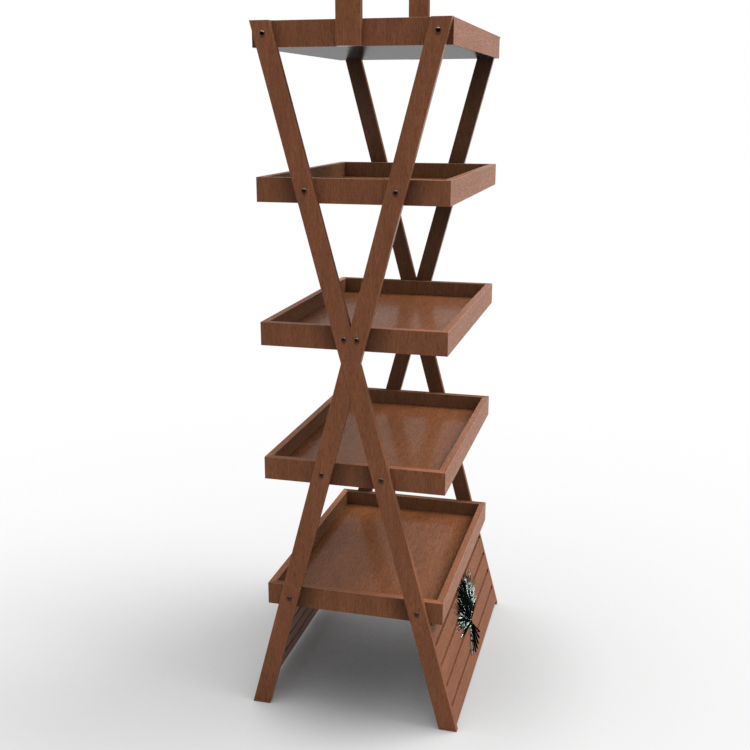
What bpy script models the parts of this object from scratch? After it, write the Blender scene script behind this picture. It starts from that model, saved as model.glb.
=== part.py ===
import math

import bmesh
import bpy
from mathutils import Vector

# Sizes are in metres. The rack's front faces +X and its left end faces -Y.
# The origin is on the floor, under the middle of the rack.

# Trays
TRAY_COUNT = 5
TRAY_PITCH = 0.350
LOWEST_RIM_HEIGHT = 0.350
TRAY_DEPTH = 0.468
TRAY_WIDTH = 0.700
TRAY_HEIGHT = 0.0585
BOARD_THICKNESS = 0.018
BOARD_LIP = 0.003
TRAY_FLOOR_THICKNESS = 0.0165

# Crossed bars of the two end frames
FOOT_SPREAD = 0.560
BAR_WIDTH = 0.046
BAR_THICKNESS = 0.016

# Slatted panels between the lower legs
SLAT_COUNT = 5
SLAT_GAP = 0.011
SLAT_THICKNESS = 0.015
PANEL_RISE = 0.012
PANEL_CLEARANCE = 0.008
BATTEN_WIDTH = 0.020
BATTEN_THICKNESS = 0.015
BATTEN_SETBACK = 0.010
BATTEN_HOUSING_DEPTH = 0.001

# Header posts
POST_WIDTH = 0.058
POST_THICKNESS = 0.018
POST_RISE = 0.350

# Button head bolts, each through a bar and into the end board of a tray
BOLT_RISE = 0.0145
SHANK_RADIUS = 0.003
HEAD_RADIUS = 0.00525
HEAD_HEIGHT = 0.0033
HEAD_RIM_HEIGHT = 0.0008
TIP_CHAMFER = 0.0006
SOCKET_RADIUS = 0.0023
SOCKET_DEPTH = 0.0018
HOLE_CLEARANCE = 0.0004
HOLE_END_CLEARANCE = 0.0006
HOLE_END_WALL = 0.004

# Fits, edges and cuts
GAP = 0.0003
EDGE_EASE = 0.0005
CUT_OVERRUN = 0.002
WELD_DISTANCE = 0.000003

# How finely the round pieces are drawn
BOLT_SIDES = 16
HOLE_SIDES = 16
SOCKET_SIDES = 6
DOME_STEPS = 3
SMOOTH_ANGLE = 40

# Heights and faces that follow from the sizes above
TOP_RIM_HEIGHT = LOWEST_RIM_HEIGHT + (TRAY_COUNT - 1) * TRAY_PITCH
END_FACE = TRAY_WIDTH / 2
BAR_INNER_FACE = END_FACE + GAP
BAR_OUTER_FACE = BAR_INNER_FACE + BAR_THICKNESS
BAR_MIDDLE = (BAR_INNER_FACE + BAR_OUTER_FACE) / 2
BOLT_SEAT = BAR_OUTER_FACE + GAP
HOLE_END = END_FACE - BOARD_THICKNESS + HOLE_END_WALL
BOLT_LENGTH = BOLT_SEAT - HOLE_END - HOLE_END_CLEARANCE

# A bar leans so that its foot reaches half the foot spread on one side of the rack,
# while its top comes level with the outer face of the top tray on the other side.
BAR_REACH = (FOOT_SPREAD + TRAY_DEPTH) / 2
LEAN = math.acos(BAR_WIDTH / math.hypot(BAR_REACH, TOP_RIM_HEIGHT)) - math.atan2(
    TOP_RIM_HEIGHT, BAR_REACH
)
BAR_HALF_SPAN = BAR_WIDTH / 2 / math.cos(LEAN)

# Which way along Y each end lies, and which way along X each foot stands
ENDS = {"left": -1, "right": 1}
FEET = {"front": 1, "back": -1}

# Base colour, roughness and metallic value
FINISHES = {
    "stained_wood": ((0.185, 0.076, 0.043, 1.0), 0.45, 0.0),
    "stained_floor_wood": ((0.210, 0.088, 0.047, 1.0), 0.40, 0.0),
    "blackened_steel": ((0.014, 0.014, 0.015, 1.0), 0.35, 0.9),
}


def clear_scene():
    for leftover in list(bpy.data.objects):
        bpy.data.objects.remove(leftover, do_unlink=True)


def make_collection(name):
    collection = bpy.data.collections.new(name)
    bpy.context.scene.collection.children.link(collection)
    return collection


def make_material(name):
    colour, roughness, metallic = FINISHES[name]
    material = bpy.data.materials.new(name)
    material.use_nodes = True
    shader = material.node_tree.nodes["Principled BSDF"]
    shader.inputs["Base Color"].default_value = colour
    shader.inputs["Roughness"].default_value = roughness
    shader.inputs["Metallic"].default_value = metallic
    return material


def move_to(piece, collection):
    for holder in list(piece.users_collection):
        holder.objects.unlink(piece)
    collection.objects.link(piece)


def finish_piece(piece, name, material, parent=None):
    piece.name = name
    piece.data.name = name
    piece.data.materials.clear()
    piece.data.materials.append(material)
    piece.parent = parent
    move_to(piece, rack)
    return piece


def finish_guide(guide, name, collection):
    """A guide shapes other pieces and isn't one itself."""
    guide.name = name
    guide.hide_render = True
    guide.display_type = "WIRE"
    move_to(guide, collection)


def add_box(size, location, turn_about_y=0.0):
    bpy.ops.mesh.primitive_cube_add(size=1, location=location)
    box = bpy.context.object
    box.scale = size
    bpy.ops.object.transform_apply(location=False, rotation=False, scale=True)
    box.rotation_euler.y = turn_about_y
    return box


def made_mesh(source):
    """The source's evaluated shape as a welded mesh object, in the source's place."""
    bpy.context.view_layer.update()
    evaluated = source.evaluated_get(bpy.context.evaluated_depsgraph_get())
    mesh = bpy.data.meshes.new_from_object(evaluated)
    welded = bmesh.new()
    welded.from_mesh(mesh)
    bmesh.ops.remove_doubles(welded, verts=welded.verts, dist=WELD_DISTANCE)
    welded.to_mesh(mesh)
    welded.free()
    piece = bpy.data.objects.new(source.name, mesh)
    piece.matrix_world = source.matrix_world
    bpy.context.scene.collection.objects.link(piece)
    bpy.data.objects.remove(source, do_unlink=True)
    return piece


def extrude_outline(points, thickness, location, turn_about_z=0.0):
    """An upright outline, drawn across and up, with an even thickness about its plane."""
    outline = bpy.data.curves.new("outline", "CURVE")
    outline.dimensions = "2D"
    outline.fill_mode = "BOTH"
    outline.extrude = thickness / 2
    spline = outline.splines.new("POLY")
    spline.points.add(len(points) - 1)
    for corner, (across, up) in zip(spline.points, points):
        corner.co = (across, up, 0, 1)
    spline.use_cyclic_u = True
    drawn = bpy.data.objects.new("outline", outline)
    drawn.location = location
    drawn.rotation_euler = (math.radians(90), 0, turn_about_z)
    bpy.context.scene.collection.objects.link(drawn)
    return made_mesh(drawn)


def ease_edges(piece):
    ease = piece.modifiers.new("eased_edges", "BEVEL")
    ease.width = EDGE_EASE
    ease.segments = 1
    ease.limit_method = "ANGLE"


def add_boolean(piece, name, operation, operand):
    """Cut or join a piece with one object or with a collection of them."""
    boolean = piece.modifiers.new(name, "BOOLEAN")
    boolean.operation = operation
    boolean.solver = "EXACT"
    if isinstance(operand, bpy.types.Collection):
        boolean.operand_type = "COLLECTION"
        boolean.collection = operand
    else:
        boolean.object = operand


def rim_height(tray_number):
    """Trays are numbered from the top one down."""
    return TOP_RIM_HEIGHT - (tray_number - 1) * TRAY_PITCH


def bar_centre(foot, height):
    """Where the middle of a bar is along X, at a height above the floor."""
    return foot * (FOOT_SPREAD / 2 - BAR_HALF_SPAN - math.tan(LEAN) * height)


# Trays: four boards mitred at the corners, rebated below for a floor panel

def board_outline():
    """Across from the board's outer face, and up from its lower edge."""
    rebate_top = TRAY_FLOOR_THICKNESS + GAP
    return [
        (0, 0),
        (BOARD_LIP, 0),
        (BOARD_LIP, rebate_top),
        (BOARD_THICKNESS, rebate_top),
        (BOARD_THICKNESS, TRAY_HEIGHT - EDGE_EASE),
        (BOARD_THICKNESS - EDGE_EASE, TRAY_HEIGHT),
        (EDGE_EASE, TRAY_HEIGHT),
        (0, TRAY_HEIGHT - EDGE_EASE),
    ]


def add_board(name, length, outer_face, turn, tray):
    """The outline's across axis, turned about Z, points into the tray."""
    board = extrude_outline(board_outline(), length, outer_face, math.radians(turn))
    mitre_gap = GAP * math.sqrt(0.5)
    for vertex in board.data.vertices:
        half_length = length / 2 - vertex.co.x - mitre_gap
        vertex.co.z = math.copysign(half_length, vertex.co.z)
    return finish_piece(board, name, materials["stained_wood"], tray)


def add_tray(number):
    name = f"tray_{number}"
    tray = bpy.data.objects.new(name, None)
    tray.location.z = rim_height(number) - TRAY_HEIGHT
    rack.objects.link(tray)
    side_face = TRAY_DEPTH / 2
    add_board(f"{name}_back_board", TRAY_WIDTH, (-side_face, 0, 0), 0, tray)
    add_board(f"{name}_front_board", TRAY_WIDTH, (side_face, 0, 0), 180, tray)
    left_board = add_board(f"{name}_left_board", TRAY_DEPTH, (0, -END_FACE, 0), 90, tray)
    right_board = add_board(f"{name}_right_board", TRAY_DEPTH, (0, END_FACE, 0), -90, tray)
    add_boolean(left_board, "bolt_holes", "DIFFERENCE", bolt_holes["left"])
    add_boolean(right_board, "bolt_holes", "DIFFERENCE", bolt_holes["right"])
    margins = 2 * (BOARD_LIP + GAP)
    floor_size = (TRAY_DEPTH - margins, TRAY_WIDTH - margins, TRAY_FLOOR_THICKNESS)
    floor = add_box(floor_size, (0, 0, TRAY_FLOOR_THICKNESS / 2))
    finish_piece(floor, f"{name}_floor", materials["stained_floor_wood"], tray)


# End frames: two bars that cross flush, each halved where they meet

def add_bar_shape(foot, side, near_face, far_face, widening=0.0, overrun=0.0):
    """A bar between two distances from the rack's middle, level at foot and top."""
    low = -overrun
    high = TOP_RIM_HEIGHT + overrun
    half_span = BAR_HALF_SPAN + widening / math.cos(LEAN)
    outline = [
        (bar_centre(foot, low) - half_span, low),
        (bar_centre(foot, low) + half_span, low),
        (bar_centre(foot, high) + half_span, high),
        (bar_centre(foot, high) - half_span, high),
    ]
    middle = side * (near_face + far_face) / 2
    return extrude_outline(outline, far_face - near_face, (0, middle, 0))


def add_end_frame(end):
    side = ENDS[end]
    halvings = {
        "front": (BAR_INNER_FACE - CUT_OVERRUN, BAR_MIDDLE + GAP / 2),
        "back": (BAR_MIDDLE - GAP / 2, BAR_OUTER_FACE + CUT_OVERRUN),
    }
    for foot_name, foot in FEET.items():
        near_face, far_face = halvings[foot_name]
        halving = add_bar_shape(-foot, side, near_face, far_face, GAP, CUT_OVERRUN)
        finish_guide(halving, f"{end}_{foot_name}_foot_bar_halving", cutters)
        bar = add_bar_shape(foot, side, BAR_INNER_FACE, BAR_OUTER_FACE)
        finish_piece(bar, f"{end}_{foot_name}_foot_bar", materials["stained_wood"])
        ease_edges(bar)
        add_boolean(bar, "halving", "DIFFERENCE", halving)
        add_boolean(bar, "bolt_holes", "DIFFERENCE", bolt_holes[end])


# Bolts and their holes

def bolt_places():
    """Where each bolt crosses the bars: its tray, its bar's foot, X and height."""
    for number in range(1, TRAY_COUNT + 1):
        height = rim_height(number) - TRAY_HEIGHT + TRAY_FLOOR_THICKNESS + BOLT_RISE
        for foot_name, foot in FEET.items():
            yield number, foot_name, bar_centre(foot, height), height


def add_bolt_holes(end):
    """The holes of one end, from outside the bars to their blind ends in the boards."""
    holes = make_collection(f"{end}_bolt_holes")
    mouth = BAR_OUTER_FACE + CUT_OVERRUN
    middle = ENDS[end] * (mouth + HOLE_END) / 2
    for number, foot_name, across, height in bolt_places():
        bpy.ops.mesh.primitive_cylinder_add(
            vertices=HOLE_SIDES,
            radius=SHANK_RADIUS + HOLE_CLEARANCE,
            depth=mouth - HOLE_END,
            location=(across, middle, height),
            rotation=(math.radians(90), 0, 0),
        )
        finish_guide(bpy.context.object, f"{end}_{foot_name}_foot_hole_{number}", holes)
    return holes


def bolt_profile():
    """Radius and height, from the crown of the head down to the tip."""
    dome_height = HEAD_HEIGHT - HEAD_RIM_HEIGHT
    points = []
    for step in range(DOME_STEPS + 1):
        angle = math.radians(90) * step / DOME_STEPS
        points.append((HEAD_RADIUS * math.sin(angle), HEAD_RIM_HEIGHT + dome_height * math.cos(angle)))
    points.append((HEAD_RADIUS, 0))
    points.append((SHANK_RADIUS, 0))
    points.append((SHANK_RADIUS, TIP_CHAMFER - BOLT_LENGTH))
    points.append((SHANK_RADIUS - TIP_CHAMFER, -BOLT_LENGTH))
    points.append((0, -BOLT_LENGTH))
    return points


def make_bolt_mesh():
    profile = bpy.data.meshes.new("bolt_profile")
    points = [(radius, 0, height) for radius, height in bolt_profile()]
    edges = [(index, index + 1) for index in range(len(points) - 1)]
    profile.from_pydata(points, edges, [])
    turned = bpy.data.objects.new("bolt", profile)
    bpy.context.scene.collection.objects.link(turned)
    screw = turned.modifiers.new("turned", "SCREW")
    screw.steps = BOLT_SIDES
    screw.render_steps = BOLT_SIDES
    screw.use_merge_vertices = True
    screw.merge_threshold = WELD_DISTANCE
    bpy.ops.mesh.primitive_cylinder_add(
        vertices=SOCKET_SIDES,
        radius=SOCKET_RADIUS,
        depth=2 * SOCKET_DEPTH,
        location=(0, 0, HEAD_HEIGHT),
    )
    socket = bpy.context.object
    finish_guide(socket, "bolt_socket", cutters)
    add_boolean(turned, "socket", "DIFFERENCE", socket)
    bolt = made_mesh(turned)
    mesh = bolt.data
    mesh.name = "bolt"
    mesh.materials.clear()
    mesh.materials.append(materials["blackened_steel"])
    mesh.shade_smooth()
    mesh.set_sharp_from_angle(angle=math.radians(SMOOTH_ANGLE))
    bpy.data.objects.remove(bolt, do_unlink=True)
    return mesh


def add_bolts(end, mesh):
    side = ENDS[end]
    for number, foot_name, across, height in bolt_places():
        bolt = bpy.data.objects.new(f"{end}_{foot_name}_foot_bolt_{number}", mesh)
        bolt.location = (across, side * BOLT_SEAT, height)
        bolt.rotation_euler.x = -side * math.radians(90)
        rack.objects.link(bolt)


# Slatted panels, flush with the outer edges of the lower legs

def panel_point(foot, along, inward, sideways):
    """A point by its way up the slope from the floor and in from the outer face."""
    up_slope = Vector((-foot * math.sin(LEAN), 0, math.cos(LEAN)))
    outward = Vector((foot * math.cos(LEAN), 0, math.sin(LEAN)))
    corner = Vector((foot * FOOT_SPREAD / 2, sideways, 0))
    return corner + up_slope * along - outward * inward


def add_panel_pieces(foot, batten_inset):
    """The slats, lowest first, and the batten behind them at each end."""
    start = PANEL_RISE / math.cos(LEAN)
    top = (rim_height(TRAY_COUNT) - TRAY_HEIGHT - PANEL_CLEARANCE) / math.cos(LEAN)
    panel_length = top - start
    pitch = (panel_length + SLAT_GAP) / SLAT_COUNT
    slat_width = pitch - SLAT_GAP
    slats = []
    for index in range(SLAT_COUNT):
        along = start + index * pitch + slat_width / 2
        centre = panel_point(foot, along, SLAT_THICKNESS / 2, 0)
        slat = add_box((SLAT_THICKNESS, TRAY_WIDTH, slat_width), centre, -foot * LEAN)
        ease_edges(slat)
        slats.append(slat)
    batten_size = (BATTEN_THICKNESS, BATTEN_WIDTH, panel_length - 2 * BATTEN_SETBACK)
    battens = {}
    for end, side in ENDS.items():
        sideways = side * (TRAY_WIDTH - BATTEN_WIDTH) / 2
        inward = batten_inset + BATTEN_THICKNESS / 2
        centre = panel_point(foot, start + panel_length / 2, inward, sideways)
        battens[end] = add_box(batten_size, centre, -foot * LEAN)
    return slats, battens


def add_front_panel():
    slats, battens = add_panel_pieces(FEET["front"], SLAT_THICKNESS + GAP)
    for number, slat in enumerate(slats, start=1):
        finish_piece(slat, f"front_slat_{number}", materials["stained_wood"])
    for end, batten in battens.items():
        finish_piece(batten, f"front_{end}_batten", materials["stained_wood"])


def add_back_panel():
    """The back slats and battens are housed and glued into one piece."""
    slats, battens = add_panel_pieces(FEET["back"], SLAT_THICKNESS - BATTEN_HOUSING_DEPTH)
    glued = make_collection("back_panel_glued_pieces")
    for number, slat in enumerate(slats, start=1):
        finish_guide(slat, f"back_slat_{number}", glued)
    finish_guide(battens["right"], "back_right_batten", glued)
    panel = finish_piece(battens["left"], "back_slat_panel", materials["stained_wood"])
    add_boolean(panel, "glue_joints", "UNION", glued)


# Header posts, on the outside of the top tray

def add_header_post(end):
    height = TRAY_HEIGHT + POST_RISE
    sideways = ENDS[end] * (END_FACE + GAP + POST_THICKNESS / 2)
    centre = (0, sideways, TOP_RIM_HEIGHT - TRAY_HEIGHT + height / 2)
    post = add_box((POST_WIDTH, POST_THICKNESS, height), centre)
    finish_piece(post, f"{end}_header_post", materials["stained_wood"])
    ease_edges(post)


clear_scene()
rack = make_collection("whiskey_display_rack")
cutters = make_collection("cutters")
materials = {name: make_material(name) for name in FINISHES}
bolt_holes = {end: add_bolt_holes(end) for end in ENDS}
bolt_mesh = make_bolt_mesh()
for tray_number in range(1, TRAY_COUNT + 1):
    add_tray(tray_number)
for end_name in ENDS:
    add_end_frame(end_name)
    add_bolts(end_name, bolt_mesh)
    add_header_post(end_name)
add_front_panel()
add_back_panel()
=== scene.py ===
import math

import bmesh
import bpy
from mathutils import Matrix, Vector


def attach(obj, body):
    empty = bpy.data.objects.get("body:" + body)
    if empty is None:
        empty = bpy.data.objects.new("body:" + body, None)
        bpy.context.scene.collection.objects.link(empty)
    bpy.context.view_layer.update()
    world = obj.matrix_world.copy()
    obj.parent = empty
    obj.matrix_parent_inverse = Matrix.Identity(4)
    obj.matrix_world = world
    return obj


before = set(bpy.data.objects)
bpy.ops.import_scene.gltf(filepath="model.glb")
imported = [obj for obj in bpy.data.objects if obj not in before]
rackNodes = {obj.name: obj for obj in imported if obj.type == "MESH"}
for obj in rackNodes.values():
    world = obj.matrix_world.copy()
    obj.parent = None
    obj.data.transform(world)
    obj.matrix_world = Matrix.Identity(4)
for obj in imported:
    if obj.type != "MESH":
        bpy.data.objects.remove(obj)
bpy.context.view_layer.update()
print("frame loaded:", len(rackNodes), "nodes")

bpy.context.scene.view_settings.view_transform = "Standard"


# camera

cameraValues = {
    "place": (0.66258, -2.63114, 1.56368),
    "lookDown": 0.26032,  # radians below level
    "turn": 0.25941,  # radians to the left of straight on
    "lens": 48.587,
    "sensor": 36.0,
    "seesTo": 200.0,
}

bpy.ops.object.select_all(action="DESELECT")
bpy.ops.object.camera_add(
    location=cameraValues["place"],
    rotation=(math.pi / 2 - cameraValues["lookDown"], 0, cameraValues["turn"]),
)
rackCamera = bpy.context.object
rackCamera.name = "rackCamera"
rackCamera.data.lens = cameraValues["lens"]
rackCamera.data.sensor_width = cameraValues["sensor"]
rackCamera.data.clip_end = cameraValues["seesTo"]
bpy.context.scene.camera = rackCamera
print("camera set")


# node helpers

def addNode(tree, kind, across, up, **settings):
    node = tree.nodes.new(kind)
    node.location = (across, up)
    for name, value in settings.items():
        setattr(node, name, value)
    return node


def link(tree, fromSocket, toSocket):
    tree.links.new(fromSocket, toSocket)


def addMath(tree, operation, across, up, first, second=None, third=None, clamp=False):
    # first, second and third are numbers or output sockets
    node = addNode(tree, "ShaderNodeMath", across, up, operation=operation, use_clamp=clamp)
    for place, value in enumerate((first, second, third)):
        if isinstance(value, (int, float)):
            node.inputs[place].default_value = value
        elif value is not None:
            link(tree, value, node.inputs[place])
    return node.outputs[0]


def addRange(tree, value, across, up, low, high, toLow, toHigh):
    node = addNode(tree, "ShaderNodeMapRange", across, up, interpolation_type="SMOOTHSTEP")
    link(tree, value, node.inputs["Value"])
    node.inputs["From Min"].default_value = low
    node.inputs["From Max"].default_value = high
    node.inputs["To Min"].default_value = toLow
    node.inputs["To Max"].default_value = toHigh
    return node.outputs["Result"]


def addColourMix(tree, across, up, amount, first, second, blend="MIX"):
    node = addNode(tree, "ShaderNodeMix", across, up, data_type="RGBA", blend_type=blend)
    for place, value in (("Factor", amount), ("A", first), ("B", second)):
        socket = [s for s in node.inputs if s.name == place and s.enabled][0]
        if isinstance(value, (int, float)):
            socket.default_value = value
        elif isinstance(value, tuple):
            socket.default_value = (*value, 1)
        else:
            link(tree, value, socket)
    return [s for s in node.outputs if s.enabled][0]


def addNoise(tree, vector, across, up, scale, detail, roughness=0.5):
    node = addNode(tree, "ShaderNodeTexNoise", across, up)
    link(tree, vector, node.inputs["Vector"])
    node.inputs["Scale"].default_value = scale
    node.inputs["Detail"].default_value = detail
    node.inputs["Roughness"].default_value = roughness
    return node.outputs["Fac"]


def addLooked(tree, across, up):
    # 1 for a ray that brings light straight to the camera, or by way of a gloss or glass
    rays = addNode(tree, "ShaderNodeLightPath", across, up)
    looked = addMath(tree, "MAXIMUM", across + 200, up,
                     rays.outputs["Is Camera Ray"], rays.outputs["Is Glossy Ray"])
    return addMath(tree, "MAXIMUM", across + 200, up + 200, looked, rays.outputs["Is Transmission Ray"])


def addBump(tree, across, up, height, values):
    bump = addNode(tree, "ShaderNodeBump", across, up)
    bump.inputs["Strength"].default_value = values["bumpStrength"]
    bump.inputs["Distance"].default_value = values["bumpDistance"]
    link(tree, height, bump.inputs["Height"])
    return bump.outputs[0]


# floor, background and lamp

studioValues = {
    "floorSize": 60.0,
    "floorSeen": (0.7, 0.7, 0.7),  # colour that the camera sees
    "floorGlowShare": 0.6,  # of what the camera sees, darkened only where the rack hides the room
    "floorGlowReach": 3.0,
    "floorGlowSamples": 8,
    "floorBounce": (0.49, 0.49, 0.49),  # colour that lights the rack from below
    "background": 1.0,
    "roomLight": 0.49,
    "keyStrength": 3.77,
    "keySpread": 45.0,  # degrees across, for soft shadows
    "keyFrom": (0.566, 0.206, 0.799),
    "keyAway": 5.0,
    # soft pools of shade that the camera sees on the floor: middle, half sizes, depth
    "pools": ((-0.02, -0.22, 0.35, 0.36, 0.45), (-0.02, 0.36, 0.27, 0.26, 0.42),
              (0.36, -0.12, 0.32, 0.62, 0.12), (-0.6, -0.62, 1.2, 0.45, 0.09)),
}


def makeFloor():
    bpy.ops.object.select_all(action="DESELECT")
    bpy.ops.mesh.primitive_plane_add(size=studioValues["floorSize"], location=(0, 0, 0))
    floor = bpy.context.object
    floor.name = "studioFloor"
    paint = bpy.data.materials.new("studioFloorPaint")
    paint.use_nodes = True
    tree = paint.node_tree
    tree.nodes.clear()
    out = addNode(tree, "ShaderNodeOutputMaterial", 600, 0)
    mixed = addNode(tree, "ShaderNodeMixShader", 400, 0)
    bounce = addNode(tree, "ShaderNodeBsdfDiffuse", 0, 0)
    seen = addNode(tree, "ShaderNodeBsdfDiffuse", 0, -200)
    bounce.inputs["Color"].default_value = (*studioValues["floorBounce"], 1)
    shut = addNode(tree, "ShaderNodeAmbientOcclusion", -200, -400,
                   samples=studioValues["floorGlowSamples"])
    shut.inputs["Distance"].default_value = studioValues["floorGlowReach"]
    glow = addNode(tree, "ShaderNodeEmission", 0, -400)
    glow.inputs["Strength"].default_value = 1
    spots = addNode(tree, "ShaderNodeTexCoord", -1200, -600)
    lit = (1, 1, 1)
    for count, (middleX, middleY, halfX, halfY, depth) in enumerate(studioValues["pools"]):
        away = addNode(tree, "ShaderNodeMapping", -1000, -600 - 400 * count, vector_type="TEXTURE")
        away.inputs["Location"].default_value = (middleX, middleY, 0)
        away.inputs["Scale"].default_value = (halfX, halfY, 1)
        link(tree, spots.outputs["Object"], away.inputs["Vector"])
        far = addNode(tree, "ShaderNodeVectorMath", -800, -600 - 400 * count, operation="LENGTH")
        link(tree, away.outputs[0], far.inputs[0])
        shade = addRange(tree, far.outputs["Value"], -600, -600 - 400 * count, 0, 1, depth, 0)
        lit = addColourMix(tree, -400, -600 - 400 * count, shade, lit, (0, 0, 0))
    link(tree, addColourMix(tree, -200, -200, 1.0, lit, studioValues["floorSeen"], "MULTIPLY"),
         seen.inputs["Color"])
    link(tree, addColourMix(tree, -200, -600, 1.0, lit, shut.outputs["Color"], "MULTIPLY"),
         glow.inputs["Color"])
    seenMixed = addNode(tree, "ShaderNodeMixShader", 200, -200)
    seenMixed.inputs[0].default_value = studioValues["floorGlowShare"]
    link(tree, seen.outputs[0], seenMixed.inputs[1])
    link(tree, glow.outputs[0], seenMixed.inputs[2])
    link(tree, addLooked(tree, 0, 300), mixed.inputs[0])
    link(tree, bounce.outputs[0], mixed.inputs[1])
    link(tree, seenMixed.outputs[0], mixed.inputs[2])
    link(tree, mixed.outputs[0], out.inputs[0])
    floor.data.materials.append(paint)


def makeBackground():
    world = bpy.data.worlds.new("studioRoom")
    bpy.context.scene.world = world
    world.use_nodes = True
    tree = world.node_tree
    tree.nodes.clear()
    out = addNode(tree, "ShaderNodeOutputWorld", 600, 0)
    mixed = addNode(tree, "ShaderNodeMixShader", 400, 0)
    room = addNode(tree, "ShaderNodeBackground", 0, 0)
    white = addNode(tree, "ShaderNodeBackground", 0, -200)
    room.inputs["Strength"].default_value = studioValues["roomLight"]
    room.inputs["Color"].default_value = (1, 1, 1, 1)
    white.inputs["Strength"].default_value = studioValues["background"]
    white.inputs["Color"].default_value = (1, 1, 1, 1)
    link(tree, addLooked(tree, 0, 300), mixed.inputs[0])
    link(tree, room.outputs[0], mixed.inputs[1])
    link(tree, white.outputs[0], mixed.inputs[2])
    link(tree, mixed.outputs[0], out.inputs[0])


def makeKey():
    # a wide soft light from the right, a little behind the rack
    fromSide = Vector(studioValues["keyFrom"])
    turned = fromSide.to_track_quat("Z", "Y").to_euler()
    bpy.ops.object.light_add(type="SUN", location=fromSide * studioValues["keyAway"],
                             rotation=turned)
    key = bpy.context.object
    key.name = "softKey"
    key.data.energy = studioValues["keyStrength"]
    key.data.angle = math.radians(studioValues["keySpread"])


makeFloor()
makeBackground()
makeKey()
print("floor, background and lamp set")


# shared effects

grainValues = {
    "bendStretch": 0.3,  # the wander is this much slower along the fibres
    "bendScale": 5.0,
    "bendBy": (0.02, 0.02, 0),
    "fibreStretch": 0.1,
    "fibreFrom": (0.35, 0.68),
    "poresPerFibre": 2.7,
    "poreFrom": (0.56, 0.68),
    "poreColour": (0.035, 0.012, 0.007),
    "bandStretch": 0.07,
    "bandScale": 42,
    "bandTones": (0.92, 1.08),
    "patchScale": 6,
    "patchTones": (0.96, 1.04),
    "toneFrom": (0.3, 0.7),
    "fibreRoughness": 0.1,
    "poreRoughness": 0.2,
    "fibreDepth": 0.35,
    "poreDepth": 0.5,
}


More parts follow.
